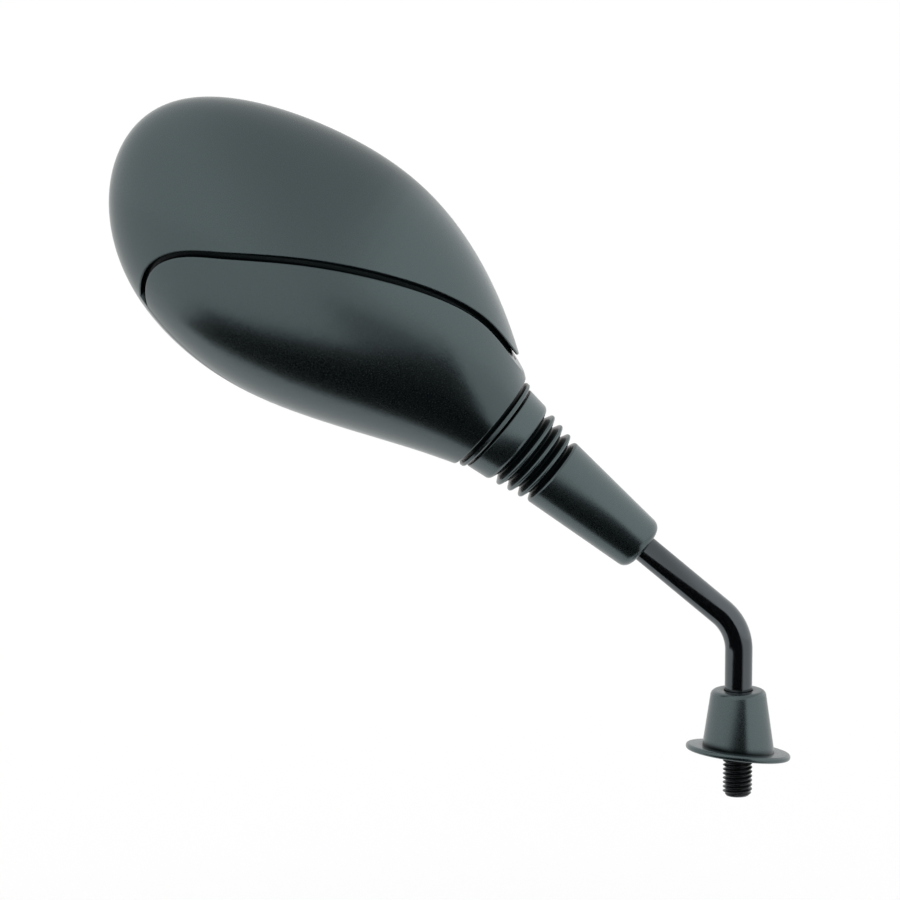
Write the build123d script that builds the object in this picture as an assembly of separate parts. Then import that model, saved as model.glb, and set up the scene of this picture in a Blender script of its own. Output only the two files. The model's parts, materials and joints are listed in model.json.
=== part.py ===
from build123d import *
import math
import os

# Scooter mirror: an egg-shaped head on a ball joint, a bent stem and a stud.
# Millimetres and degrees. The origin is on the stud's axis at the mounting plane, and +Z is up.

# Clearances
running_fit = 0.05
easy_gap = 0.3

# Stem: a bent rod with a rolled stud, and a thread relief at the mounting plane
rod_diameter = 9.3
stud_diameter = 10.0
stud_length = 14.2
stud_chamfer = 1.2
relief_width = 0.8
relief_depth = 0.7
arm_rise = 40.0
bend_height = 44.0
bend_radius = 17.0
arm_length = 93.0

# Base cap: a soft cone with an oblique flange
cap_height = 22.3
cap_top_diameter = 18.4
cap_foot_diameter = 25.0
cap_edge_radius = 1.6
cap_wall = 1.9
cap_top_wall = 2.2
cap_bore_gap = 0.25
flange_diameter = 35.6
flange_thickness = 2.0
flange_edge_radius = 0.9
flange_tilt = 8.0
flange_heading = 34.0

# Lock nut with a captive conical washer
nut_width = 14.0
nut_height = 5.0
nut_seat = 3.4
nut_chamfer = 0.5
nut_collar_wall = 0.95
nut_lip = 0.5
nut_lip_height = 0.3
nut_collar_height = 1.4
washer_width = 2.1
washer_thickness = 0.85
washer_dish = 0.8

# Ball joint, measured along the neck from the ball's centre
ball_diameter = 13.0
spigot_diameter = 6.6
spigot_length = 7.0
spigot_cone = 2.0
liner_thickness = 1.2
liner_lower_angle = 60.0
liner_upper_angle = 100.0
mouth_angle = 58.0
socket_wall = 1.9
mouth_chamfer = 0.8
cup_reach_angle = 52.0
cup_height = 9.0
cup_boss_diameter = 8.4
cup_boss_height = 1.5
spring_wire = 1.5
spring_mean_diameter = 11.6
spring_turns = 5
spring_end_gap = 0.08
socket_end = 21.5
plate_thickness = 2.0
plate_hole_diameter = 6.0

# Screws
screw_diameter = 3.0
screw_head_diameter = 5.2
screw_head_height = 1.9
screw_head_round = 0.75
screw_slot_length = 3.1
screw_slot_width = 0.8
screw_slot_depth = 0.8
plate_screw_length = 8.0
plate_screw_count = 3
carrier_screw_length = 8.0
screw_hole_gap = 0.15

# Carrier: a socket tube with a visible band and a plate behind the glass
shoulder_start = 5.2
tube_diameter = 26.2
band_diameter = 35.2
band_start = 13.8
band_width = 1.7
band_edge = 0.4
seat_length = 4.0
carrier_plate_thickness = 2.5
carrier_plate_level = 8.0
carrier_plate_root = 9.6
ear_radius = 4.0
near_ear = 34.0
far_ear = 70.0
window_margin = 8.0
window_start = 24.0
boss_foot = 0.5
boss_web = 3.0

# Rubber boot
collar_top = 13.0
collar_end = 4.7
collar_top_diameter = 32.8
collar_end_diameter = 30.8
collar_edge_radius = 1.0
collar_floor = 1.9
boot_wall = 1.5
crest_diameters = [29.6, 28.0, 26.6]
crest_places = [1.1, -3.0, -7.0]
crest_width = 1.2
groove_depth = 2.8
groove_width = 0.5
sleeve_start = -10.2
sleeve_end = -50.6
sleeve_start_diameter = 25.2
sleeve_end_diameter = 18.4
sleeve_end_radius = 3.0
sleeve_grip = 26.0
sleeve_bore_gap = 0.1

# Head: a truncated egg, measured along the neck from the cover's end
cover_end = 16.7
head_length = 153.7
half_width = 45.9
widest_at = 81.0
neck_radius = 18.6
neck_flare = 0.53
back_depth = 34.0
back_flare = 0.4
front_depth = 44.0
rim_level = 19.0
middle_bow = 2.8
middle_crossing = 75.9
middle_return = 158.9
near_sections = [0.12, 0.27, 0.44, 0.62, 0.81]
far_section_angles = [0, 16, 31, 45, 57, 68, 77, 84]
shell_wall = 2.6
cover_wall = 1.9
ledge_wall = 2.0
ledge_overlap = 3.0
ledge_reach = 4.0
seam_width = 2.1
seam_end_width = 0.7
seam_edge_radius = 0.5
rim_edge_radius = 0.6
side_gap = 0.6

# Seam of the cover on the back: across the head and along it
seam_points = [
    (18.2, -5.0),
    (21.4, 6.8),
    (25.4, 25.3),
    (23.1, 42.4),
    (15.6, 62.4),
    (1.6, 87.3),
    (-13.3, 107.5),
    (-22.6, 117.2),
    (-30.6, 119.6),
    (-38.3, 116.5),
    (-45.5, 108.2),
    (-56.0, 94.0),
]
# Edge of the cover on the sides: towards the glass and along the head
side_points = [
    (50.0, -5.0),
    (24.0, 5.2),
    (10.0, 12.0),
    (0.0, 27.0),
    (-5.0, 56.0),
    (-8.8, 90.0),
    (-9.5, 125.0),
    (-9.5, 180.0),
]
edge_samples = 24

# Glass
glass_radius = 1200.0
glass_thickness = 2.0
glass_recess = 0.5
glass_start = 17.0
pad_thickness = 1.5
pad_width = 2.7
glass_ledge = 2.0

# Derived places
arm_angle = math.radians(arm_rise)
ball_radius = ball_diameter / 2
liner_radius = ball_radius + running_fit + liner_thickness
socket_radius = liner_radius + running_fit
socket_outer = socket_radius + socket_wall
thread_top = cap_height - cap_top_wall
neck_seat_radius = neck_radius - cover_wall - easy_gap
ball_centre = Vector(
    -arm_length * math.cos(arm_angle),
    0,
    bend_height + arm_length * math.sin(arm_angle),
)
# Joint frame: X across the head, Y towards the glass, Z along the neck to the tip
neck_frame = Plane(
    origin=ball_centre,
    x_dir=(math.sin(arm_angle), 0, math.cos(arm_angle)),
    z_dir=(-math.cos(arm_angle), 0, math.sin(arm_angle)),
)
head_frame = neck_frame.offset(cover_end)
far_away = 4 * head_length


def turned(points, *rounds):
    """Revolve a profile of (radius, height) points about Z, with corner radii at named points."""
    profile = make_face(Plane.XZ * Polyline(*points, close=True))
    for corner, radius in rounds:
        place = Vector(corner[0], 0, corner[1])
        nearest = profile.vertices().sort_by_distance(place)[0]
        profile = fillet(nearest, radius)
    return revolve(profile, Axis.Z)


def polar(radius, angle):
    """Point on a sphere's meridian, with the angle measured from the stem side."""
    return (radius * math.sin(math.radians(angle)), -radius * math.cos(math.radians(angle)))


def meridian(radius, start, end):
    """Arc along a sphere's meridian in the XZ plane."""
    middle = (start + end) / 2
    return Plane.XZ * ThreePointArc(polar(radius, start), polar(radius, middle), polar(radius, end))


def flat_line(start, end):
    """Straight line in the XZ plane."""
    return Plane.XZ * Line(start, end)


def screw(length):
    """Pan-head screw with a cross slot, head up, seated at Z = 0."""
    head = turned(
        [
            (0, 0),
            (screw_head_diameter / 2, 0),
            (screw_head_diameter / 2, screw_head_height),
            (0, screw_head_height),
        ],
        ((screw_head_diameter / 2, screw_head_height), screw_head_round),
    )
    slot = Box(screw_slot_length, screw_slot_width, 2 * screw_slot_depth)
    shank = Cylinder(screw_diameter / 2, length, align=(Align.CENTER, Align.CENTER, Align.MAX))
    body = head + shank
    for angle in (0, 90):
        body -= Pos(0, 0, screw_head_height) * Rot(0, 0, angle) * slot
    return body


# Head form


def swell(u, start, slope, full, reach):
    """Size of the egg at u: a smooth rise from the neck, then a quarter ellipse to the tip."""
    if u <= 0:
        return start + slope * u
    if u <= widest_at:
        s = u / widest_at
        rise = 3 * s**2 - 2 * s**3
        return start + (full - start) * rise + slope * u * (1 - s) ** 2
    return full * math.sqrt(max(0.0, 1 - ((u - widest_at) / reach) ** 2))


def drift(u):
    """Sideways shift of the egg's middle line: bowed one way to its crossing, then the other way."""

    def cubic(place):
        return place * (place - middle_crossing) * (place - middle_return)

    return middle_bow * cubic(u) / cubic(middle_crossing / 2)


def spread(u, inset):
    """Half width, back depth and front depth of the egg at u, set in from the outer skin."""
    reach = head_length - widest_at - inset
    neck = neck_radius - inset
    wide = swell(u, neck, neck_flare, half_width - inset, reach)
    back = swell(u, neck, back_flare, back_depth - inset, reach)
    front = swell(u, neck, 0, front_depth - inset, reach)
    return wide, back, front


def egg_ring(u, inset):
    """Cross-section of the egg: a front and a back half ellipse."""
    wide, back, front = spread(u, inset)
    centre = (drift(u), 0)
    front_half = EllipticalCenterArc(centre, wide, front, 0, arc_size=180)
    back_half = EllipticalCenterArc(centre, wide, back, 180, arc_size=180)
    return Pos(0, 0, u) * Wire([front_half, back_half])


def egg(inset):
    """Solid egg, set in from the outer skin; an inner one also runs out through the neck."""
    reach = head_length - widest_at - inset
    start = -2 * inset
    near = [start] + [widest_at * share for share in near_sections]
    far = [widest_at + reach * math.sin(math.radians(angle)) for angle in far_section_angles]
    tip = Vertex(drift(widest_at + reach), 0, widest_at + reach)
    return Solid.make_loft([egg_ring(u, inset) for u in near + far] + [tip])


def wall_at(u, level, inset, side):
    """Place across the head of the egg's wall at u and at a level towards the glass."""
    wide, back, front = spread(u, inset)
    return drift(u) + side * wide * math.sqrt(1 - (level / front) ** 2)


def on_back(across, along):
    """Place on the outer skin of the back."""
    wide, back, front = spread(along, 0)
    depth = back * math.sqrt(1 - ((across - drift(along)) / wide) ** 2)
    return Vector(across, -depth, along)


def rounded_at(body, places, radius):
    """Round the edges of a body that pass nearest to the places."""
    return body.fillet(radius, [body.edges().sort_by_distance(place)[0] for place in places])


def grown_region(points, grow, belly=0):
    """Region left of a smooth edge through the points, grown past it and more so along its middle."""
    edge = Spline(*points)
    shifted = []
    for step in range(edge_samples + 1):
        share = step / edge_samples
        heading = edge % share
        width = grow + belly * 4 * share * (1 - share)
        shifted.append(edge @ share + Vector(heading.Y, -heading.X) * width)
    start = shifted[0]
    end = shifted[-1]
    closing = Polyline(
        end,
        (end.X - far_away, end.Y),
        (end.X - far_away, start.Y - far_away),
        (start.X, start.Y - far_away),
        start,
    )
    return make_face([Spline(*shifted), *closing.edges()])


def cover_zone(seam_grow, side_grow, seam_belly=0):
    """Space that the lower cover takes, grown past the seam and past its side edge."""
    plan = extrude(Plane.XZ * grown_region(seam_points, seam_grow, seam_belly), far_away, both=True)
    flank = extrude(Plane.YZ * grown_region(side_points, side_grow), far_away, both=True)
    return plan & flank


def lens_layer(drop, thickness):
    """Layer between two spheres of the glass's curve, its top a drop below the rim."""
    top = rim_level - drop
    radius = head_length
    sag = glass_radius - math.sqrt(glass_radius**2 - radius**2)
    half_sag = glass_radius - math.sqrt(glass_radius**2 - (radius / 2) ** 2)
    upper = ThreePointArc((0, top), (radius / 2, top - half_sag), (radius, top - sag))
    lower = ThreePointArc(
        (0, top - thickness),
        (radius / 2, top - half_sag - thickness),
        (radius, top - sag - thickness),
    )
    outer = Line((radius, top - sag), (radius, top - sag - thickness))
    inner = Line((0, top), (0, top - thickness))
    disc = revolve(make_face([upper, outer, lower, inner]), Axis.Y)
    above_start = Pos(0, 0, glass_start) * Box(
        far_away, far_away, far_away, align=(Align.CENTER, Align.CENTER, Align.MIN)
    )
    return Pos(0, 0, widest_at) * disc & above_start


# Head mouldings, in the head frame

skin = egg(0)
shell_inside = egg(shell_wall)
cover_inside = egg(cover_wall)
glass_space = egg(shell_wall + easy_gap)
pad_inside = egg(shell_wall + easy_gap + pad_width)
ledge_top = cover_wall + easy_gap
ledge_outside = egg(ledge_top)
ledge_inside = egg(ledge_top + ledge_wall)
open_front = Pos(0, rim_level, 0) * Box(
    far_away, far_away, far_away, align=(Align.CENTER, Align.MIN, Align.CENTER)
)
wall_middle = egg(shell_wall / 2)
cover_space = cover_zone(0, 0)
cover_opening = cover_zone(seam_end_width, side_gap, seam_width - seam_end_width)
ledge_zone = cover_zone(seam_width + ledge_overlap, side_gap + ledge_overlap)
ledge_zone -= cover_zone(-ledge_reach, -ledge_reach)
carrier_space = egg(ledge_top + ledge_wall + easy_gap)
seam_middle = on_back(*seam_points[len(seam_points) // 2])
screw_top = carrier_plate_level + carrier_plate_thickness + screw_head_height
ears = []
for along in (near_ear, far_ear):
    for side in (-1, 1):
        wall_place = wall_at(along, screw_top, shell_wall + easy_gap + pad_width, side)
        ears.append((wall_place - side * (ear_radius + easy_gap), along, side))


def make_housing_shell():
    """Back and rim in one moulding, with ledges for cover and glass and bosses for the carrier."""
    shell = (skin - shell_inside - open_front - cover_opening).solid()
    shell = rounded_at(shell, [seam_middle], seam_edge_radius)
    rim = Vector(wall_at(widest_at, rim_level, 0, 1), rim_level, widest_at)
    shell = rounded_at(shell, [rim], rim_edge_radius)
    ledge = (ledge_outside - ledge_inside) & ledge_zone
    ledge -= open_front
    above_seat = Pos(0, 0, seat_length) * Box(
        far_away, far_away, far_away, align=(Align.CENTER, Align.CENTER, Align.MIN)
    )
    shell += ledge & above_seat
    glass_seat = lens_layer(glass_recess + glass_thickness + pad_thickness, glass_ledge)
    shell += glass_seat & (wall_middle - pad_inside)
    for across, along, side in ears:
        height = carrier_plate_level - boss_foot
        post = Cylinder(ear_radius, height, align=(Align.CENTER, Align.CENTER, Align.MIN))
        web = Box(half_width, boss_web, height - boss_web, align=(Align.MIN, Align.CENTER, Align.MIN))
        boss = post + Rot(0, 0, 90 - 90 * side) * web
        boss -= Pos(0, 0, height - carrier_screw_length) * Cylinder(
            screw_diameter / 2, carrier_screw_length, align=(Align.CENTER, Align.CENTER, Align.MIN)
        )
        placed = Pos(across, boss_foot, along) * Rot(-90, 0, 0) * boss
        shell += placed & wall_middle
    return shell


def make_lower_cover():
    """Lower back of the head, which closes round the neck."""
    cover = ((skin - cover_inside - open_front) & cover_space).solid()
    cover = rounded_at(cover, [seam_middle], seam_edge_radius)
    neck_end = [Vector(0, neck_radius, 0), Vector(0, -neck_radius, 0)]
    return rounded_at(cover, neck_end, rim_edge_radius)


def make_mirror_glass():
    """Convex glass inside the rim."""
    return lens_layer(glass_recess, glass_thickness) & glass_space


def make_glass_pad():
    """Foam ring between the glass and its ledge."""
    return lens_layer(glass_recess + glass_thickness, pad_thickness) & (glass_space - pad_inside)


# Ball joint, in the neck frame


def make_pivot_ball():
    """Ball pressed on the stem's spigot."""
    return Sphere(ball_radius) - Cylinder(spigot_diameter / 2, 2 * ball_diameter)


def make_ball_liner():
    """Zone of a hollow sphere round the ball."""
    inner = ball_radius + running_fit
    profile = make_face(
        [
            meridian(inner, liner_lower_angle, liner_upper_angle),
            flat_line(polar(inner, liner_upper_angle), polar(liner_radius, liner_upper_angle)),
            meridian(liner_radius, liner_lower_angle, liner_upper_angle),
            flat_line(polar(inner, liner_lower_angle), polar(liner_radius, liner_lower_angle)),
        ]
    )
    return revolve(profile, Axis.Z)


def make_friction_cup():
    """Cup that the spring presses on the ball."""
    seat = ball_radius + running_fit
    rim = seat * math.cos(math.radians(cup_reach_angle))
    outer = socket_radius - running_fit
    body = turned(
        [
            (0, rim),
            (outer, rim),
            (outer, cup_height),
            (cup_boss_diameter / 2, cup_height),
            (cup_boss_diameter / 2, cup_height + cup_boss_height),
            (0, cup_height + cup_boss_height),
        ]
    )
    return body - Sphere(seat)


def make_joint_spring():
    """Compression spring between the cup and the plate."""
    radius = spring_mean_diameter / 2
    height = socket_end - cup_height - spring_wire - 2 * spring_end_gap
    path = Helix(height / spring_turns, height, radius)
    wire = Plane(origin=path @ 0, z_dir=path % 0) * Circle(spring_wire / 2)
    coil = sweep(wire, path)
    return Pos(0, 0, cup_height + spring_wire / 2 + spring_end_gap) * coil


def plate_screw_places():
    """Screw circle on the socket's end, midway through the tube's wall."""
    radius = (socket_radius + tube_diameter / 2) / 2
    return PolarLocations(radius, plate_screw_count, start_angle=90)


def make_spring_plate():
    """Round plate that closes the socket."""
    plate = Cylinder(
        tube_diameter / 2, plate_thickness, align=(Align.CENTER, Align.CENTER, Align.MIN)
    )
    plate -= Cylinder(plate_hole_diameter / 2, 3 * plate_thickness)
    hole = Cylinder(screw_diameter / 2 + screw_hole_gap, 3 * plate_thickness)
    plate -= [place * hole for place in plate_screw_places()]
    return Pos(0, 0, socket_end) * plate


def make_plate_screws():
    """Screws of the spring plate."""
    seat = Pos(0, 0, socket_end + plate_thickness)
    return Compound([(seat * place * screw(plate_screw_length)).solid() for place in plate_screw_places()])


def make_joint_carrier():
    """Socket tube with its band, and a plate with a window that is screwed to the housing."""
    tube_radius = tube_diameter / 2
    mouth_radius, mouth_level = polar(socket_radius, mouth_angle)
    shoulder_end = shoulder_start + tube_radius - socket_outer
    seat_start = band_start + band_width
    seat_end = cover_end + seat_length - easy_gap
    outline = Polyline(
        (mouth_radius, mouth_level),
        (socket_outer - mouth_chamfer, mouth_level),
        (socket_outer, mouth_level + mouth_chamfer),
        (socket_outer, shoulder_start),
        (tube_radius, shoulder_end),
        (tube_radius, band_start),
        (band_diameter / 2 - band_edge, band_start),
        (band_diameter / 2, band_start + band_edge),
        (band_diameter / 2, seat_start - band_edge),
        (band_diameter / 2 - band_edge, seat_start),
        (neck_seat_radius, seat_start),
        (neck_seat_radius, seat_end),
        (tube_radius, seat_end),
        (tube_radius, socket_end),
        (socket_radius, socket_end),
        (socket_radius, 0),
    )
    profile = make_face([*(Plane.XZ * outline).edges(), meridian(socket_radius, mouth_angle, 90)])
    socket = revolve(profile, Axis.Z)
    corner = [(across, cover_end + along, side) for across, along, side in ears]
    reach = ear_radius
    plan = make_face(
        Polyline(
            (-carrier_plate_root, seat_start),
            (corner[0][0] - reach, corner[0][1] - reach),
            (corner[0][0] - reach, corner[0][1]),
            (corner[2][0] - reach, corner[2][1]),
            (corner[2][0] - reach, corner[2][1] + reach),
            (corner[3][0] + reach, corner[3][1] + reach),
            (corner[3][0] + reach, corner[3][1]),
            (corner[1][0] + reach, corner[1][1]),
            (corner[1][0] + reach, corner[1][1] - reach),
            (carrier_plate_root, seat_start),
            close=True,
        )
    )
    beyond = Pos(0, cover_end + window_start) * Rectangle(
        far_away, far_away, align=(Align.CENTER, Align.MIN)
    )
    window = offset(plan, -window_margin) & beyond
    plan -= fillet(window.vertices(), window_margin / 2)
    plan = fillet(plan.vertices().sort_by(Axis.Y)[-2:], reach)
    for across, along, side in corner:
        plan -= Pos(across, along) * Circle(screw_diameter / 2 + screw_hole_gap)
    plate = extrude(Plane.XZ * plan, -carrier_plate_thickness)
    bore = Cylinder(socket_radius, far_away)
    lid = Pos(0, 0, socket_end) * Cylinder(
        tube_radius + easy_gap,
        plate_thickness + screw_head_height + easy_gap,
        align=(Align.CENTER, Align.CENTER, Align.MIN),
    )
    plate = Pos(0, carrier_plate_level, 0) * plate & Pos(0, 0, cover_end) * carrier_space
    carrier = socket + (plate - bore - lid)
    hole = Cylinder(
        screw_diameter / 2,
        plate_screw_length - plate_thickness,
        align=(Align.CENTER, Align.CENTER, Align.MAX),
    )
    return carrier - [Pos(0, 0, socket_end) * place * hole for place in plate_screw_places()]


def make_carrier_screws():
    """Screws from the glass side through the carrier's ears."""
    level = carrier_plate_level + carrier_plate_thickness
    facing = Rot(-90, 0, 0) * screw(carrier_screw_length)
    return Compound(
        [(Pos(across, level, cover_end + along) * facing).solid() for across, along, side in ears]
    )


def make_rubber_boot():
    """Collar on the carrier, three bellows and a long sleeve on the stem."""
    tops = [(collar_end_diameter / 2, collar_end)]
    for diameter, place in zip(crest_diameters, crest_places):
        tops.append((diameter / 2, place + crest_width / 2))
        tops.append((diameter / 2, place - crest_width / 2))
    tops.append((sleeve_start_diameter / 2, sleeve_start))
    outer = [(collar_top_diameter / 2, collar_top)]
    inner = []
    for upper, lower in zip(tops[0::2], tops[1::2]):
        root = (upper[0] + lower[0]) / 2 - groove_depth
        middle = (upper[1] + lower[1]) / 2
        outer += [upper, (root, middle + groove_width / 2), (root, middle - groove_width / 2), lower]
        inner += [(root - boot_wall, middle), (lower[0] - boot_wall, lower[1] - crest_width / 2)]
    grip_radius = rod_diameter / 2 + sleeve_bore_gap
    collar_bore = tube_diameter / 2 + easy_gap
    outer += [(sleeve_end_diameter / 2, sleeve_end), (grip_radius, sleeve_end)]
    hollow = [(collar_bore, collar_top), (collar_bore, collar_end + collar_floor)]
    hollow += inner + [(grip_radius, sleeve_end + sleeve_grip)]
    return turned(
        outer + hollow[::-1],
        ((sleeve_end_diameter / 2, sleeve_end), sleeve_end_radius),
        ((collar_end_diameter / 2, collar_end), collar_edge_radius),
    )


# Stem and base, in the part's own frame


def make_stem():
    """Bent rod with the stud below and a spigot for the ball above."""
    arm_direction = neck_frame.z_dir
    rod_end = ball_centre - arm_direction * (spigot_length + spigot_cone)
    corner = Vector(0, 0, bend_height)
    path = FilletPolyline((0, 0, thread_top), corner, rod_end, radius=bend_radius)
    rod = sweep(Plane(origin=(0, 0, thread_top), z_dir=(0, 0, 1)) * Circle(rod_diameter / 2), path)
    stud = turned(
        [
            (0, -stud_length),
            (stud_diameter / 2 - stud_chamfer, -stud_length),
            (stud_diameter / 2, -stud_length + stud_chamfer),
            (stud_diameter / 2, 0),
            (stud_diameter / 2 - relief_depth, 0),
            (stud_diameter / 2 - relief_depth, relief_width),
            (stud_diameter / 2, relief_width),
            (stud_diameter / 2, thread_top),
            (0, thread_top),
        ]
    )
    spigot_radius = spigot_diameter / 2
    flush = math.sqrt(ball_radius**2 - spigot_radius**2)
    spigot = turned(
        [
            (0, -spigot_length - spigot_cone),
            (rod_diameter / 2, -spigot_length - spigot_cone),
            (spigot_radius, -spigot_length),
            (spigot_radius, flush),
            (0, flush),
        ]
    )
    return stud + rod + neck_frame * spigot


def make_base_cap():
    """Hollow cone with a bore for the rod and an oblique flange at its foot."""
    foot = cap_foot_diameter / 2
    top = cap_top_diameter / 2
    taper = (foot - top) / cap_height
    skirt = flange_diameter / 2 * math.tan(math.radians(flange_tilt)) + flange_thickness
    cone = turned(
        [(0, -skirt), (foot + taper * skirt, -skirt), (top, cap_height), (0, cap_height)],
        ((top, cap_height), cap_edge_radius),
    )
    tilt = math.radians(flange_tilt)
    heading = math.radians(flange_heading)
    normal = (
        math.sin(tilt) * math.cos(heading),
        math.sin(tilt) * math.sin(heading),
        math.cos(tilt),
    )
    seat = Plane(origin=(0, 0, 0), z_dir=normal)
    flange = seat * Cylinder(
        flange_diameter / 2, flange_thickness, align=(Align.CENTER, Align.CENTER, Align.MIN)
    )
    flange = fillet(flange.edges().filter_by(GeomType.CIRCLE), flange_edge_radius)
    below = seat * Box(
        2 * flange_diameter,
        2 * flange_diameter,
        flange_diameter,
        align=(Align.CENTER, Align.CENTER, Align.MAX),
    )
    hollow = turned(
        [
            (0, -skirt),
            (foot + taper * skirt - cap_wall, -skirt),
            (top + taper * cap_top_wall - cap_wall, thread_top),
            (0, thread_top),
        ]
    )
    bore = Cylinder(rod_diameter / 2 + cap_bore_gap, 3 * cap_height)
    return cone + flange - below - hollow - bore


def make_lock_nut():
    """Hexagon nut with a collar and lip that keep the washer on."""
    bore = stud_diameter / 2 + running_fit
    collar = bore + nut_collar_wall
    corner = nut_width / math.sqrt(3)
    hexagon = extrude(RegularPolygon(nut_width / 2, 6, major_radius=False), nut_height)
    rounding = turned(
        [
            (0, 0),
            (nut_width / 2, 0),
            (corner, nut_chamfer),
            (corner, nut_height - nut_chamfer),
            (nut_width / 2, nut_height),
            (0, nut_height),
        ]
    )
    ring = turned(
        [
            (0, 0),
            (collar, 0),
            (collar, nut_lip_height - nut_collar_height),
            (collar + nut_lip, nut_lip_height - nut_collar_height),
            (collar + nut_lip, -nut_collar_height),
            (0, -nut_collar_height),
        ]
    )
    nut = (hexagon & rounding) + ring - Cylinder(bore, 4 * nut_height)
    return Pos(0, 0, nut_seat) * nut


def make_nut_washer():
    """Dished washer between the nut's face and its lip."""
    inner = stud_diameter / 2 + running_fit + nut_collar_wall + nut_lip / 2
    washer = turned(
        [
            (inner, 0),
            (inner + washer_width, -washer_dish),
            (inner + washer_width, -washer_dish - washer_thickness),
            (inner, -washer_thickness),
        ]
    )
    return Pos(0, 0, nut_seat) * washer


pieces = {
    "housing_shell": head_frame * make_housing_shell(),
    "lower_cover": head_frame * make_lower_cover(),
    "mirror_glass": head_frame * make_mirror_glass(),
    "glass_pad": head_frame * make_glass_pad(),
    "joint_carrier": neck_frame * make_joint_carrier(),
    "carrier_screws": neck_frame * make_carrier_screws(),
    "spring_plate": neck_frame * make_spring_plate(),
    "plate_screws": neck_frame * make_plate_screws(),
    "joint_spring": neck_frame * make_joint_spring(),
    "friction_cup": neck_frame * make_friction_cup(),
    "ball_liner": neck_frame * make_ball_liner(),
    "pivot_ball": neck_frame * make_pivot_ball(),
    "rubber_boot": neck_frame * make_rubber_boot(),
    "stem": make_stem(),
    "base_cap": make_base_cap(),
    "lock_nut": make_lock_nut(),
    "nut_washer": make_nut_washer(),
}

os.makedirs("parts", exist_ok=True)
for name, piece in pieces.items():
    export_step(piece, f"parts/{name}.step")
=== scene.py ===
# %% [markdown]
# # A scooter mirror
# An egg-shaped head of two plastic mouldings sits on a ball joint, with a rubber boot, a bent black stem, a
# soft base cap and a threaded stud. The imported solids give every place and size, so this lesson starts by
# loading them as a fixed frame.

# %% Load the frame
import json
import math

import bmesh
import bpy
from mathutils import Matrix, Vector


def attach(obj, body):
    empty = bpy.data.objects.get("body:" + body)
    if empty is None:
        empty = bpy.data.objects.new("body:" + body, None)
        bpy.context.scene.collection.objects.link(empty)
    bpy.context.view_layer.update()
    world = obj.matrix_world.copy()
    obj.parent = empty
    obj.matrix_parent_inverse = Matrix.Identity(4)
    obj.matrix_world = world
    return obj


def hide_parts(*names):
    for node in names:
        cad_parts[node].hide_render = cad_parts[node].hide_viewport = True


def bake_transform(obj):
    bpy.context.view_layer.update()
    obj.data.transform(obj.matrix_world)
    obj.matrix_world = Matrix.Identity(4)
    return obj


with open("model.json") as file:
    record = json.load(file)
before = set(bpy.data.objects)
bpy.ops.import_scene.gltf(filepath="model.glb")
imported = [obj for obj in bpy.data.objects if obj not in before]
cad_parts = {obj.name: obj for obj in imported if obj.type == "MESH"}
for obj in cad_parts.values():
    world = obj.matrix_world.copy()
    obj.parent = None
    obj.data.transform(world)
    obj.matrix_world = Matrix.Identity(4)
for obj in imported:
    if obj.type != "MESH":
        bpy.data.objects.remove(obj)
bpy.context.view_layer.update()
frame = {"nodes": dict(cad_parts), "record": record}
scene = bpy.context.scene
scene.view_settings.view_transform = "Standard"

# %% [markdown]
# ## Camera
# The photo is taken from behind the head, a little above it, with a long lens that hardly shows perspective.
# A distance of 1.6 m and a field 301 mm wide at the object give the photo's scale of 3 pixels to the
# millimetre. The lens follows from the field, so the distance can change and the scale stays.

# %% Set the camera
camera_rise = math.radians(10.0)
camera_distance = 1.6
field_width = 0.3013
aim = Vector((-0.0974, 0.0, 0.1045))
towards_camera = Vector((0.0, -math.cos(camera_rise), math.sin(camera_rise)))
camera_data = bpy.data.cameras.new("camera")
camera_data.sensor_width = 36.0
camera_data.lens = camera_data.sensor_width * camera_distance / field_width
camera = bpy.data.objects.new("camera", camera_data)
camera.location = aim + towards_camera * camera_distance
camera.rotation_mode = "QUATERNION"
camera.rotation_quaternion = (-towards_camera).to_track_quat("-Z", "Y")
scene.collection.objects.link(camera)
scene.camera = camera
print("camera at", [round(value, 3) for value in camera.location], "lens", round(camera_data.lens), "mm")

# %% [markdown]
# ## Floor
# The photo's ground is clean white. A backdrop would only help one view, so a pale floor reaches far out
# instead: the ground stays white from every side and still takes a soft shadow.

# %% Helpers for the studio
def plain_finish(name, tint):
    """Matt finish of one colour, for the studio only."""
    finish = bpy.data.materials.new(name)
    finish.use_nodes = True
    shader = finish.node_tree.nodes["Principled BSDF"]
    shader.inputs["Base Color"].default_value = (*tint, 1.0)
    shader.inputs["Specular IOR Level"].default_value = 0.0
    shader.inputs["Roughness"].default_value = 1.0
    return finish


def stage_piece(name, shape, finish):
    """Turn a bmesh into a piece of the studio."""
    mesh = bpy.data.meshes.new(name)
    shape.to_mesh(mesh)
    shape.free()
    mesh.materials.append(finish)
    piece = bpy.data.objects.new(name, mesh)
    scene.collection.objects.link(piece)
    return piece


print("helpers for the studio")

# %% Lay the floor
floor_level = -0.1
floor_reach = 14.0
floor_tint = (0.98, 0.98, 0.98)
floor_shape = bmesh.new()
bmesh.ops.create_grid(floor_shape, x_segments=1, y_segments=1, size=floor_reach)
bmesh.ops.translate(floor_shape, verts=floor_shape.verts, vec=(0, 0, floor_level))
floor = stage_piece("floor", floor_shape, plain_finish("pale floor", floor_tint))
print("floor", -1000 * floor_level, "mm below the mounting plane")

# %% [markdown]
# ## Sky
# Dark plastic shows little colour of its own: its greys are mirrored light. The photo's studio is white all
# round, a little dimmer overhead and clearly brighter low at the right, as beside a large softbox. Lamps
# would leave their square outlines in the gloss, so the sky itself carries this: its strength follows the
# direction, with two soft steps. The camera sees plain white instead, so no horizon shows behind the object.

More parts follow.
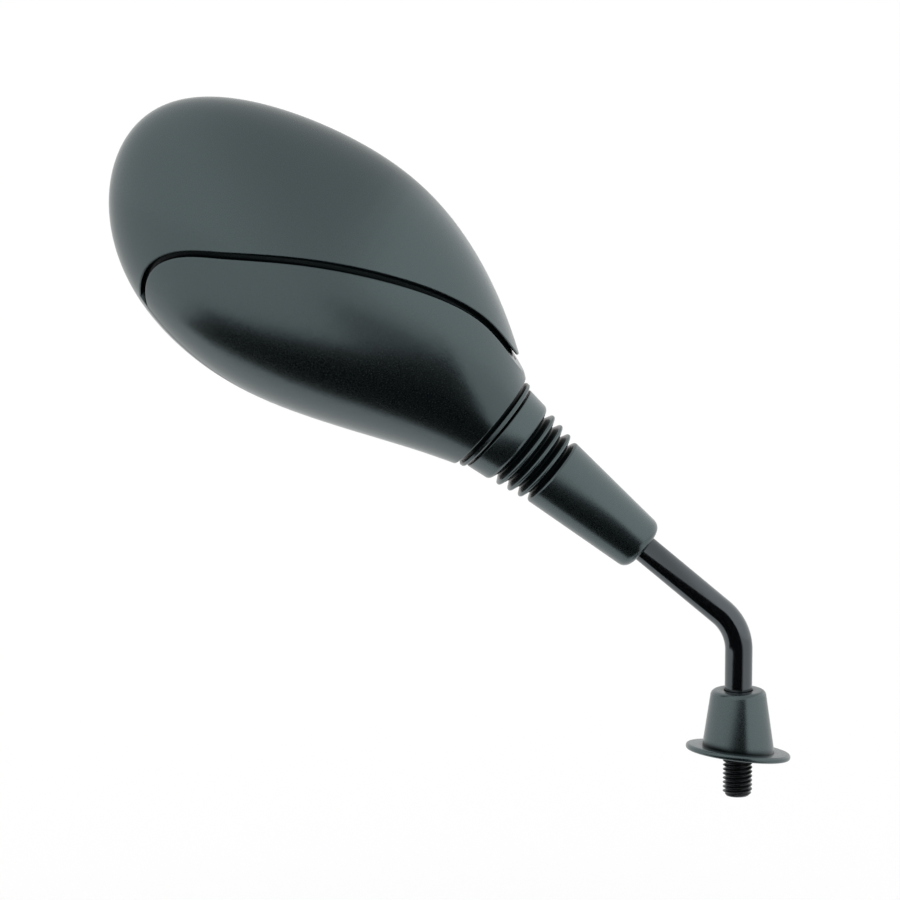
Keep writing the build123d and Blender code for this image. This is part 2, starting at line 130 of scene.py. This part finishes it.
# %% Helpers for shader nodes
def add_node(tree, kind, **sockets):
    """Add a shader node; each keyword names an input socket and gives its value or the output to link."""
    node = tree.nodes.new(kind)
    for name, value in sockets.items():
        socket = node.inputs[name.replace("_", " ")]
        if isinstance(value, bpy.types.NodeSocket):
            tree.links.new(value, socket)
        else:
            socket.default_value = value
    return node


def soft_step(tree, value, start, end, low, high):
    """Value that glides from low to high between a start and an end."""
    step = add_node(tree, "ShaderNodeMapRange", Value=value)
    step.interpolation_type = "SMOOTHSTEP"
    step.inputs["From Min"].default_value = start
    step.inputs["From Max"].default_value = end
    step.inputs["To Min"].default_value = low
    step.inputs["To Max"].default_value = high
    return step.outputs["Result"]


print("helpers for shader nodes")

# %% Light the sky
overhead_strength = 0.85
left_strength = 1.1
right_gain = 0.45
height_share = -0.6
sky = bpy.data.worlds.new("white sky")
sky.use_nodes = True
sky_tree = sky.node_tree
direction = add_node(sky_tree, "ShaderNodeTexCoord").outputs["Generated"]
parts = add_node(sky_tree, "ShaderNodeSeparateXYZ", Vector=direction).outputs
low_right = add_node(sky_tree, "ShaderNodeMath")
low_right.operation = "MULTIPLY_ADD"
sky_tree.links.new(parts["Z"], low_right.inputs[0])
low_right.inputs[1].default_value = height_share
sky_tree.links.new(parts["X"], low_right.inputs[2])
left_light = soft_step(sky_tree, parts["X"], 0.3, -0.5, overhead_strength, left_strength)
right_light = soft_step(sky_tree, low_right.outputs["Value"], 0.12, 0.34, 0.0, right_gain)
sky_strength = add_node(sky_tree, "ShaderNodeMath")
sky_tree.links.new(left_light, sky_strength.inputs[0])
sky_tree.links.new(right_light, sky_strength.inputs[1])
seen_by_camera = add_node(sky_tree, "ShaderNodeLightPath").outputs["Is Camera Ray"]
shown_strength = add_node(sky_tree, "ShaderNodeMix", Factor=seen_by_camera, B=1.0)
sky_tree.links.new(sky_strength.outputs["Value"], shown_strength.inputs["A"])
sky_light = sky_tree.nodes["Background"]
sky_light.inputs["Color"].default_value = (1.0, 1.0, 1.0, 1.0)
sky_tree.links.new(shown_strength.outputs["Result"], sky_light.inputs["Strength"])
scene.world = sky
print("sky of", len(sky_tree.nodes), "nodes")

# %% [markdown]
# ## Velvet and carpet
# The photo's plastic mirrors a black band low in front, where something dark lay in the studio, and the band
# fades upwards at the right. A sheet of black velvet draws it: it lies on the floor in front of the object,
# and its front edge rises towards the right as a low screen. A grey carpet further out gives the soft fade.
# Only reflections see the two cloths, so they hide nothing and shade nothing.

# %% Helpers for cloths
cloth_lift = 0.001


def spread_cloth(name, shape, level):
    """Studio cloth of one grey level, seen by reflections alone."""
    cloth = stage_piece(name, shape, plain_finish(name, (level, level, level)))
    cloth.visible_camera = False
    cloth.visible_diffuse = False
    cloth.visible_transmission = False
    cloth.visible_shadow = False
    return cloth


def flat_shape(corners):
    """Flat face on the floor, from its corners; gives the bmesh and its points."""
    shape = bmesh.new()
    points = [shape.verts.new((x, y, floor_level + cloth_lift)) for x, y in corners]
    bmesh.ops.contextual_create(shape, geom=points)
    return shape, points


print("helpers for cloths")

# %% Spread the velvet
velvet_corners = [
    (-0.43, 0.02),
    (-0.28, -0.045),
    (0.13, -0.062),
    (0.13, -0.27),
    (-0.43, -0.2),
]
screen_height = 0.22
velvet_shape, velvet_points = flat_shape(velvet_corners)
front_edge = velvet_shape.edges.get(velvet_points[-2:])
grown = bmesh.ops.extrude_edge_only(velvet_shape, edges=[front_edge])["geom"]
screen_top = [item for item in grown if isinstance(item, bmesh.types.BMVert)]
right_corner = max(screen_top, key=lambda corner: corner.co.x)
bmesh.ops.translate(velvet_shape, verts=[right_corner], vec=(0, 0, screen_height))
bmesh.ops.remove_doubles(velvet_shape, verts=velvet_shape.verts, dist=1e-5)
velvet = spread_cloth("velvet", velvet_shape, 0.002)
print("velvet of", len(velvet.data.polygons), "faces")

# %% Spread the carpet
carpet_corners = [
    (-0.14, -0.4),
    (0.3, -0.4),
    (0.6, -0.9),
    (0.6, -1.5),
    (0.02, -1.5),
    (-0.1, -0.9),
]
carpet_shape, _ = flat_shape(carpet_corners)
carpet = spread_cloth("carpet", carpet_shape, 0.4)
print("carpet of", len(carpet.data.polygons), "face")

# %% [markdown]
# ## Moulded finishes
# Moulded plastic is never one flat colour: the mould's spark-eroded wall leaves a fine grain, which breaks up
# the gloss, and the tint drifts a little. Image textures could show this, but noise on Object coordinates
# needs no unwrapping and keeps its real size: the coordinates are metres, so a grain of a third of a
# millimetre is a noise scale of 3000. The seams and the folds of the bellows are black in the photo, because
# hardly any light gets in and out of them. An Ambient Occlusion node finds such hollows and paints that shade
# into the gloss, which fades to black there. Elsewhere the gloss is tinted cool blue, a painted reflection.

# %% Helpers for drifting tints
def drifting_tint(tree, pattern, tint, drift):
    """Colour that drifts with a pattern, from a little darker than the tint to a little lighter."""
    colours = add_node(tree, "ShaderNodeValToRGB", Fac=pattern)
    for stop, position, level in zip(colours.color_ramp.elements, (0.3, 0.7), (1.0 - drift, 1.0 + drift)):
        stop.position = position
        stop.color = [level * channel for channel in tint] + [1.0]
    return colours.outputs["Color"]


def drifting_value(tree, pattern, middle, drift):
    """Number that drifts with a pattern, by a drift to each side of the middle."""
    span = add_node(tree, "ShaderNodeMapRange", Value=pattern, From_Min=0.3, From_Max=0.7)
    span.inputs["To Min"].default_value = middle - drift
    span.inputs["To Max"].default_value = middle + drift
    return span.outputs["Result"]


def painted_hollow_shade(tree, reach, tint):
    """Painted shade: tint of the gloss that fades to black in hollows narrower than the reach."""
    openness = add_node(tree, "ShaderNodeAmbientOcclusion", Distance=reach).outputs["AO"]
    gloss = add_node(tree, "ShaderNodeValToRGB", Fac=openness)
    closed, opened = gloss.color_ramp.elements
    closed.position = 0.55
    closed.color = (0.0, 0.0, 0.0, 1.0)
    opened.position = 0.9
    opened.color = (*tint, 1.0)
    return gloss.outputs["Color"]


print("helpers for tints, values and hollows")

# %% Plastic, rubber and foam
# reach of the painted shade in seams and folds
painted_shade_reach = 3.0e-3
cloud_size = 25e-3
# cool blue tint on the plastics' gloss: a painted reflection of bluish surroundings
painted_cool_reflection = (0.76, 0.97, 1.0)
plastic_ior = 1.57
rubber_ior = 1.6


def moulded_finish(name, tint, roughness, grain_size, grain_depth, ior=plastic_ior):
    """Moulded plastic or rubber: a drifting tint, a fine grain that breaks up the gloss, painted shade in
    hollows and a painted cool reflection tint.
    """
    finish = bpy.data.materials.new(name)
    finish.use_nodes = True
    tree = finish.node_tree
    shader = tree.nodes["Principled BSDF"]
    shader.inputs["IOR"].default_value = ior
    shader.inputs["Specular IOR Level"].default_value = 1.0
    place = add_node(tree, "ShaderNodeTexCoord").outputs["Object"]
    cloud = add_node(tree, "ShaderNodeTexNoise", Vector=place, Scale=1.0 / cloud_size, Detail=4.0)
    speckle = add_node(tree, "ShaderNodeTexNoise", Vector=place, Scale=1.0 / grain_size, Detail=2.0)
    grain = speckle.outputs["Fac"]
    bump = add_node(tree, "ShaderNodeBump", Strength=0.35, Distance=grain_depth, Height=grain)
    tree.links.new(drifting_tint(tree, cloud.outputs["Fac"], tint, 0.12), shader.inputs["Base Color"])
    tree.links.new(drifting_value(tree, grain, roughness, 0.04), shader.inputs["Roughness"])
    tree.links.new(bump.outputs["Normal"], shader.inputs["Normal"])
    # Specular Tint: painted shade in hollows, and a cool blue painted reflection tint in the open
    tree.links.new(painted_hollow_shade(tree, painted_shade_reach, painted_cool_reflection), shader.inputs["Specular Tint"])
    return finish


charcoal_plastic = moulded_finish("charcoal plastic", (0.002, 0.0034, 0.0038), 0.24, 0.35e-3, 0.02e-3)
black_plastic = moulded_finish("black plastic", (0.002, 0.0034, 0.0038), 0.26, 0.3e-3, 0.015e-3)
boot_rubber = moulded_finish("boot rubber", (0.0025, 0.0042, 0.0047), 0.26, 0.25e-3, 0.02e-3, rubber_ior)
foam = moulded_finish("closed-cell foam", (0.03, 0.03, 0.03), 0.85, 0.6e-3, 0.15e-3)
print("moulded finishes:", [finish.name for finish in (charcoal_plastic, black_plastic, boot_rubber, foam)])

# %% [markdown]
# ## Paint, plated steel and mirror glass
# The stem is painted gloss black, with the slight waves of sprayed paint. The screws and the nut are zinc
# plated. The glass is silvered on its back; glass and silver could be two layers, but one metal with almost
# no roughness looks the same and exports well.

# %% Paint, steel and glass
# bluish tint on the paint's gloss: a painted reflection of bluish surroundings
painted_blue_reflection = (0.82, 0.93, 1.0)


def hard_finish(name, tint, roughness, wave_size, wave_depth, drift=0.15):
    """Paint or metal with slight waves and an uneven gloss; gives the finish and its shader."""
    finish = bpy.data.materials.new(name)
    finish.use_nodes = True
    tree = finish.node_tree
    shader = tree.nodes["Principled BSDF"]
    place = add_node(tree, "ShaderNodeTexCoord").outputs["Object"]
    swell = add_node(tree, "ShaderNodeTexNoise", Vector=place, Scale=1.0 / wave_size, Detail=3.0)
    wave = swell.outputs["Fac"]
    bump = add_node(tree, "ShaderNodeBump", Strength=0.2, Distance=wave_depth, Height=wave)
    tree.links.new(drifting_tint(tree, wave, tint, drift), shader.inputs["Base Color"])
    tree.links.new(drifting_value(tree, wave, roughness, drift * roughness), shader.inputs["Roughness"])
    tree.links.new(bump.outputs["Normal"], shader.inputs["Normal"])
    return finish, shader


def painted(name, tint, roughness, wave_size, wave_depth, gloss):
    """Black paint whose gloss is tinted blue, a painted reflection of bluish surroundings."""
    finish, shader = hard_finish(name, tint, roughness, wave_size, wave_depth)
    shader.inputs["IOR"].default_value = plastic_ior
    shader.inputs["Specular IOR Level"].default_value = gloss
    shader.inputs["Specular Tint"].default_value = (*painted_blue_reflection, 1.0)
    return finish


def metallic(name, tint, roughness, wave_size, wave_depth, drift):
    """Bare or plated metal."""
    finish, shader = hard_finish(name, tint, roughness, wave_size, wave_depth, drift)
    shader.inputs["Metallic"].default_value = 1.0
    return finish


black_paint = painted("gloss black paint", (0.002, 0.0022, 0.0026), 0.13, 1.6e-3, 0.008e-3, gloss=1.0)
black_thread = painted("blackened thread", (0.003, 0.003, 0.0033), 0.3, 0.5e-3, 0.01e-3, gloss=0.3)
zinc_steel = metallic("zinc plate", (0.55, 0.55, 0.53), 0.34, 0.4e-3, 0.01e-3, drift=0.15)
silvered_glass = metallic("silvered glass", (0.86, 0.88, 0.89), 0.02, 30e-3, 0.0, drift=0.01)
print("hard finishes:", [finish.name for finish in (black_paint, black_thread, zinc_steel, silvered_glass)])

# %% [markdown]
# ## Dressing the solids
# The head's mouldings and the inner pieces already have their true shapes, with smooth faces and rounded seam
# edges, so they stay as they are and only get a finish. The record says which finish each piece has.

# %% Dress the solids
finish_of_slot = {
    "moulded_grey": charcoal_plastic,
    "moulded_black": black_plastic,
    "boot_rubber": boot_rubber,
    "foam": foam,
    "black_paint": black_paint,
    "zinc_steel": zinc_steel,
    "mirror_glass": silvered_glass,
}
for part in frame["record"]["subparts"]:
    node = frame["nodes"][part["node"]]
    node.data.materials.clear()
    node.data.materials.append(finish_of_slot[part["material_slot"]])

# %% [markdown]
# ## Mirror glass
# The convex glass is a slice of a large sphere. The solid's triangles fan out from one point, and their
# stored normals go wrong there, which a mirror shows as a blot. Normals averaged over such long triangles
# would bend the mirrored horizon. So a copy of the triangles is merged into one skin, and on the dome each
# normal points straight away from the sphere's middle, 1.2 m behind the glass.

# %% Copy and merge the glass
def finished_piece(name, shape, finish, sharp_angle=40.0):
    """Turn a bmesh into a smooth-shaded object with crisp edges above an angle."""
    mesh = bpy.data.meshes.new(name)
    shape.to_mesh(mesh)
    shape.free()
    mesh.shade_smooth()
    mesh.set_sharp_from_angle(angle=math.radians(sharp_angle))
    mesh.materials.append(finish)
    piece = bpy.data.objects.new(name, mesh)
    scene.collection.objects.link(piece)
    return piece


dome_slope = 4.0
glass_shape = bmesh.new()
glass_shape.from_mesh(frame["nodes"]["mirror_glass"].data)
bmesh.ops.remove_doubles(glass_shape, verts=glass_shape.verts, dist=1e-6)
bmesh.ops.recalc_face_normals(glass_shape, faces=glass_shape.faces)
glass = finished_piece("glass_lens", glass_shape, silvered_glass, sharp_angle=dome_slope)
if "custom_normal" in glass.data.attributes:
    glass.data.attributes.remove(glass.data.attributes["custom_normal"])
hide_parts("mirror_glass")
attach(glass, "head")
print("glass of", len(glass.data.polygons), "faces")

# %% Point the dome's normals
glass_radius = 1.2
apex = max((point.co for point in glass.data.vertices), key=lambda place: place.y)
dome_middle = apex - Vector((0.0, glass_radius, 0.0))
flat_enough = math.cos(math.radians(dome_slope))
dome_faces = [face for face in glass.data.polygons if face.normal.y > flat_enough]
corner_normals = [corner.vector.copy() for corner in glass.data.corner_normals]
largest_change = 0.0
for face in dome_faces:
    for corner in face.loop_indices:
        place = glass.data.vertices[glass.data.loops[corner].vertex_index].co
        true_normal = (place - dome_middle).normalized()
        largest_change = max(largest_change, true_normal.angle(corner_normals[corner]))
        corner_normals[corner] = true_normal
glass.data.normals_split_custom_set(corner_normals)
print(len(dome_faces), "dome faces, normals moved by up to", round(math.degrees(largest_change), 2), "degrees")

# %% [markdown]
# ## Turned shapes
# The boot and the cap are round. A cylinder could be cut and scaled into shape, but a turner works from an
# outline, and so does this: a few points of radius and height, whose corners are rounded by a bevel of single
# vertices, and a full spin that makes the body.

# %% Helper for turned shapes
mm = 0.001


def turned(outline, steps, closed=True):
    """Spin an outline of (radius, height, corner radius) in millimetres about Z."""
    shape = bmesh.new()
    corners = [shape.verts.new((radius * mm, 0, height * mm)) for radius, height, _ in outline]
    for first, second in zip(corners, corners[1:]):
        shape.edges.new((first, second))
    if closed:
        shape.edges.new((corners[-1], corners[0]))
    for corner, (_, _, rounding) in zip(corners, outline):
        if rounding:
            bmesh.ops.bevel(
                shape,
                geom=[corner],
                offset=rounding * mm,
                offset_type="OFFSET",
                affect="VERTICES",
                segments=6,
                profile=0.5,
                material=-1,
            )
    bmesh.ops.spin(
        shape,
        geom=shape.verts[:] + shape.edges[:],
        cent=(0, 0, 0),
        axis=(0, 0, 1),
        angle=2 * math.pi,
        steps=steps,
        use_merge=True,
        use_duplicate=False,
    )
    bmesh.ops.remove_doubles(shape, verts=shape.verts, dist=1e-6)
    bmesh.ops.recalc_face_normals(shape, faces=shape.faces)
    return shape


print("helper for turned shapes")

# %% [markdown]
# ## Rubber boot
# One soft moulding grips the stem below and the carrier above, and its three bellows take up the ball
# joint's tilt. The joint nods and leans about two crossed axes, and the boot is made in two halves that meet
# in a groove. Inside, that groove is wide enough for the lip of the socket when the head leans.

# %% Place the neck
arm_rise = math.radians(40.0)
arm_length = 93.0
bend_height = 44.0
along_neck = Vector((-math.cos(arm_rise), 0.0, math.sin(arm_rise)))
across_head = Vector((math.sin(arm_rise), 0.0, math.cos(arm_rise)))
ball_centre = (Vector((0.0, 0.0, bend_height)) + along_neck * arm_length) * mm
turn_to_neck = Matrix((across_head, (0.0, 1.0, 0.0), along_neck)).transposed().to_4x4()
neck = Matrix.Translation(ball_centre) @ turn_to_neck
print("ball centre in mm:", [round(value / mm, 2) for value in ball_centre])

# %% Draw the boot's outlines
split = -0.95
upper_outline = [
    (13.4, 13.0, 0.3),
    (16.4, 13.0, 0.5),
    (15.4, 4.7, 1.0),
    (12.3, 3.5, 0.3),
    (12.3, 2.9, 0.3),
    (14.8, 1.55, 0.44),
    (14.8, 0.65, 0.44),
    (11.6, -0.65, 0.25),
    (11.6, split, 0.0),
    (10.6, split, 0.0),
    (13.3, 1.1, 0.0),
    (10.8, 3.2, 0.0),
    (13.4, 6.6, 0.0),
]
lower_outline = [
    (10.6, split, 0.0),
    (11.6, split, 0.0),
    (11.6, -1.25, 0.25),
    (14.0, -2.55, 0.44),
    (14.0, -3.45, 0.44),
    (10.85, -4.7, 0.3),
    (10.85, -5.3, 0.3),
    (13.3, -6.55, 0.44),
    (13.3, -7.45, 0.44),
    (10.15, -8.6, 0.3),
    (10.15, -9.2, 0.3),
    (12.6, -10.2, 0.7),
    (9.2, -50.6, 3.0),
    (4.75, -50.6, 0.4),
    (4.75, -24.6, 0.0),
    (11.1, -10.8, 0.0),
    (8.65, -8.9, 0.0),
    (11.8, -7.0, 0.0),
    (9.35, -5.0, 0.0),
    (12.5, -3.0, 0.0),
]
boot_heights = [height for _, height, _ in upper_outline + lower_outline]
print("boot from", min(boot_heights), "to", max(boot_heights), "mm along the neck")

# %% Turn the boot
boot_steps = 112
boot_halves = {}
for half, outline in (("boot_upper", upper_outline), ("boot_lower", lower_outline)):
    shape = turned(outline, boot_steps)
    bmesh.ops.transform(shape, matrix=neck, verts=shape.verts)
    piece = finished_piece(half, shape, boot_rubber)
    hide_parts("rubber_boot")
    boot_halves[half] = piece


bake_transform(boot_halves["boot_lower"])
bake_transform(boot_halves["boot_upper"])
print("boot halves:", {name: len(piece.data.polygons) for name, piece in boot_halves.items()}, "faces")

# %% [markdown]
# ## Stem
# The stem is one steel rod, bent and painted gloss black. A curve with a round section could show it, but a
# rod bender starts from a straight bar, and so does this: a circle is extruded up, spun round the bend and
# extruded along the arm, down to a thinner spigot in the ball.

# %% Helper for growing the rod
def grow(edges, move, scale=1.0):
    """Extrude a ring of edges, move it and scale it about its middle; give back the new ring."""
    grown = bmesh.ops.extrude_edge_only(stem_shape, edges=edges)["geom"]
    points = [item for item in grown if isinstance(item, bmesh.types.BMVert)]
    bmesh.ops.translate(stem_shape, verts=points, vec=move)
    if scale != 1.0:
        middle = sum((point.co for point in points), Vector()) / len(points)
        bmesh.ops.scale(stem_shape, vec=(scale,) * 3, verts=points, space=Matrix.Translation(-middle))
    chosen = set(points)
    rings = [item for item in grown if isinstance(item, bmesh.types.BMEdge)]
    return [edge for edge in rings if set(edge.verts) <= chosen]


stem_shape = bmesh.new()
print("helper for growing the rod")

# %% Bend the rod
rod_radius = 4.65
thread_top = 20.1
bend_radius = 17.0
bend_angle = math.pi / 2 - arm_rise
bend_start = bend_height - bend_radius * math.tan(bend_angle / 2)
bmesh.ops.create_circle(
    stem_shape,
    cap_ends=False,
    segments=64,
    radius=rod_radius * mm,
    matrix=Matrix.Translation((0, 0, thread_top * mm)),
)
ring_edges = grow(stem_shape.edges[:], (0, 0, (bend_start - thread_top) * mm))
bend = bmesh.ops.spin(
    stem_shape,
    geom=ring_edges,
    cent=(-bend_radius * mm, 0, bend_start * mm),
    axis=(0, -1, 0),
    angle=bend_angle,
    steps=28,
    use_duplicate=False,
)
ring_edges = [item for item in bend["geom_last"] if isinstance(item, bmesh.types.BMEdge)]
print("bend of", round(math.degrees(bend_angle)), "degrees from", round(bend_start, 1), "mm up")

# %% Run the arm to the ball
shoulder_to_ball = 9.0
cone_length = 2.0
spigot_radius = 3.3
spigot_length = 12.6
bend_end = sum((edge.verts[0].co for edge in ring_edges), Vector()) / len(ring_edges)
arm_run = (ball_centre - bend_end).dot(along_neck) - shoulder_to_ball * mm
ring_edges = grow(ring_edges, along_neck * arm_run)
ring_edges = grow(ring_edges, along_neck * cone_length * mm, scale=spigot_radius / rod_radius)
ring_edges = grow(ring_edges, along_neck * spigot_length * mm)
bmesh.ops.edgeloop_fill(stem_shape, edges=ring_edges)
print("arm", round(arm_run / mm, 1), "mm long")

# %% [markdown]
# ## Thread
# The stud's thread is rolled between two dies, so it is a helix with rounded crests and roots. Rings would
# look alike from afar, but a nut climbs on a helix: one pitch of the profile is spun as a screw. The helix is
# then cut flat at both ends, and its crests are lowered at the chamfer, at the relief and where it runs out.

# %% Roll the thread
pitch = 1.5
stud_length = 14.2
turn_steps = 56
thread_profile = [
    (4.10, 0.0),
    (4.12, 0.09),
    (4.22, 0.16),
    (4.89, 0.41),
    (4.97, 0.46),
    (5.00, 0.50),
    (4.97, 0.54),
    (4.89, 0.59),
    (4.22, 0.84),
    (4.12, 0.91),
    (4.10, 1.0),
]
turns = math.ceil((stud_length + thread_top) / pitch) + 2
thread_foot = -stud_length - pitch
thread_shape = bmesh.new()
corners = [
    thread_shape.verts.new((radius * mm, 0, (thread_foot + share * pitch) * mm))
    for radius, share in thread_profile
]
for first, second in zip(corners, corners[1:]):
    thread_shape.edges.new((first, second))
bmesh.ops.spin(
    thread_shape,
    geom=thread_shape.verts[:] + thread_shape.edges[:],
    cent=(0, 0, 0),
    axis=(0, 0, 1),
    dvec=(0, 0, pitch * mm / turn_steps),
    angle=2 * math.pi * turns,
    steps=turn_steps * turns,
    use_duplicate=False,
)
bmesh.ops.remove_doubles(thread_shape, verts=thread_shape.verts, dist=1e-6)
print("thread of", turns, "turns before it is cut")

# %% Cut and chamfer the thread
end_radius = 3.8
relief_radius = 4.3
relief_top = 0.8
relief_slope = 2.0
runout_slope = 0.7
for level, side in ((-stud_length, -1), (thread_top, 1)):
    cut = bmesh.ops.bisect_plane(
        thread_shape,
        geom=thread_shape.verts[:] + thread_shape.edges[:] + thread_shape.faces[:],
        plane_co=(0, 0, level * mm),
        plane_no=(0, 0, side),
        clear_outer=True,
    )
    rim = [item for item in cut["geom_cut"] if isinstance(item, bmesh.types.BMEdge)]
    bmesh.ops.edgeloop_fill(thread_shape, edges=rim)
for point in thread_shape.verts:
    height = point.co.z / mm
    limit = min(
        end_radius + (height + stud_length),
        relief_radius + relief_slope * max(0.0, -height, height - relief_top),
        rod_radius + runout_slope * max(0.0, thread_top - height),
    )
    radius = math.hypot(point.co.x, point.co.y) / mm
    if radius > limit:
        point.co.x *= limit / radius
        point.co.y *= limit / radius
bmesh.ops.recalc_face_normals(thread_shape, faces=thread_shape.faces)
print("thread", len(thread_shape.faces), "faces")

# %% Join rod and thread
thread_mesh = bpy.data.meshes.new("thread")
thread_shape.to_mesh(thread_mesh)
thread_shape.free()
rod_faces = set(stem_shape.faces)
stem_shape.from_mesh(thread_mesh)
bmesh.ops.recalc_face_normals(stem_shape, faces=stem_shape.faces)
for face in stem_shape.faces:
    if face not in rod_faces:
        face.material_index = 1
stem = finished_piece("stem_rod", stem_shape, black_paint)
stem.data.materials.append(black_thread)
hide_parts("stem")
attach(stem, "stem")
print("stem", len(stem.data.polygons), "faces")

# %% [markdown]
# ## Base cap
# A soft cone slips over the lock nut, and its flange lies on the perch, which is not square to the stud. So
# the cone is turned upright and its foot is cut off along a plane that leans by 8 degrees. The flange is
# turned by itself and leaned, and bridges between the open edges then join the two into one skin.

# %% Turn the cone and cut its foot
cap_steps = 128
flange_tilt = math.radians(8.0)
flange_heading = math.radians(34.0)
flange_thickness = 2.0
lean_axis = Vector((-math.sin(flange_heading), math.cos(flange_heading), 0.0))
lean = Matrix.Rotation(flange_tilt, 4, lean_axis)
flange_up = lean.to_3x3() @ Vector((0.0, 0.0, 1.0))
cone_outline = [
    (11.04, -3.0, 0.0),
    (7.63, 20.1, 0.6),
    (4.9, 20.1, 0.0),
    (4.9, 22.3, 0.35),
    (9.2, 22.3, 1.5),
    (12.94, -3.0, 0.0),
]
cap_shape = turned(cone_outline, cap_steps, closed=False)
bmesh.ops.bisect_plane(
    cap_shape,
    geom=cap_shape.verts[:] + cap_shape.edges[:] + cap_shape.faces[:],
    plane_co=flange_up * flange_thickness * mm,
    plane_no=-flange_up,
    clear_outer=True,
)
print("cone", len(cap_shape.faces), "faces")

# %% Turn the flange
flange_outline = [
    (12.75, flange_thickness, 0.0),
    (17.8, flange_thickness, 0.85),
    (17.8, 0.0, 0.85),
    (10.7, 0.0, 0.0),
]
flange_shape = turned(flange_outline, cap_steps, closed=False)
bmesh.ops.transform(flange_shape, matrix=lean, verts=flange_shape.verts)
flange_mesh = bpy.data.meshes.new("flange")
flange_shape.to_mesh(flange_mesh)
flange_shape.free()
print("flange", len(flange_mesh.polygons), "faces")

# %% Join the flange to the cone
wall_middle = 11.6 * mm
cap_shape.from_mesh(flange_mesh)
open_edges = [edge for edge in cap_shape.edges if edge.is_boundary]
outer_edges = [edge for edge in open_edges if edge.verts[0].co.xy.length > wall_middle]
inner_edges = [edge for edge in open_edges if edge.verts[0].co.xy.length < wall_middle]
bmesh.ops.bridge_loops(cap_shape, edges=outer_edges)
bmesh.ops.bridge_loops(cap_shape, edges=inner_edges)
bmesh.ops.recalc_face_normals(cap_shape, faces=cap_shape.faces)
print("open edges left on the cap:", sum(edge.is_boundary for edge in cap_shape.edges))
cap = finished_piece("cap_cone", cap_shape, boot_rubber, sharp_angle=30.0)
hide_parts("base_cap")
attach(cap, "base_cap")
